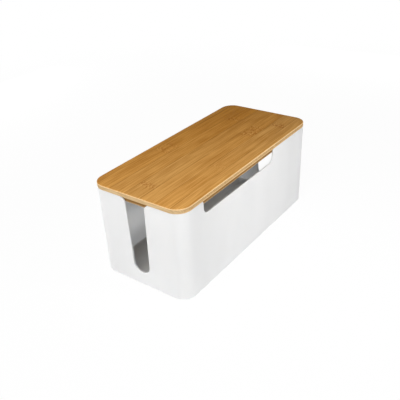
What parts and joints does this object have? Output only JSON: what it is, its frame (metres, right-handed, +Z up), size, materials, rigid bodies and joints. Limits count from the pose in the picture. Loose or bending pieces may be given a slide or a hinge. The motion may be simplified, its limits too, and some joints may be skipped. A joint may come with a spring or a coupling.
{
  "type": "cable management box",
  "caption": "White moulded desk cable box with round-footed cable slots in its ends, a shallow notch in the front wall and a lift-off bamboo lid.",
  "frame": {"origin": "on the ground under the middle of the box, level with the bottoms of the feet", "axes": "+Z up, +X along the length towards the end away from the notch, the notched front wall on the -Y side"},
  "size_m": [0.31, 0.14, 0.131],
  "materials": {
    "tub_plastic": "fine satin moulded white",
    "foot_rubber": "matte grey rubber",
    "bamboo_face": "satin lacquered caramel bamboo, grain along the lid",
    "bamboo_core": "lacquered bamboo, grain across the lid",
    "bamboo_back": "sanded natural bamboo, grain along the lid",
    "bamboo_strip": "satin lacquered bamboo strip"
  },
  "bodies": {
    "tub": {"tub_shell": "tub_plastic", "foot_front_left": "foot_rubber", "foot_front_right": "foot_rubber", "foot_rear_left": "foot_rubber", "foot_rear_right": "foot_rubber"},
    "lid": {"lid_face_ply": "bamboo_face", "lid_core_ply": "bamboo_core", "lid_back_ply": "bamboo_back", "lip_front": "bamboo_strip", "lip_rear": "bamboo_strip", "lip_left": "bamboo_strip", "lip_right": "bamboo_strip"}
  },
  "joints": [
    {"name": "lid_lift", "type": "slide", "parent": "tub", "child": "lid", "axis": [0, 0, 1], "range_m": [0, 0.15]}
  ]
}
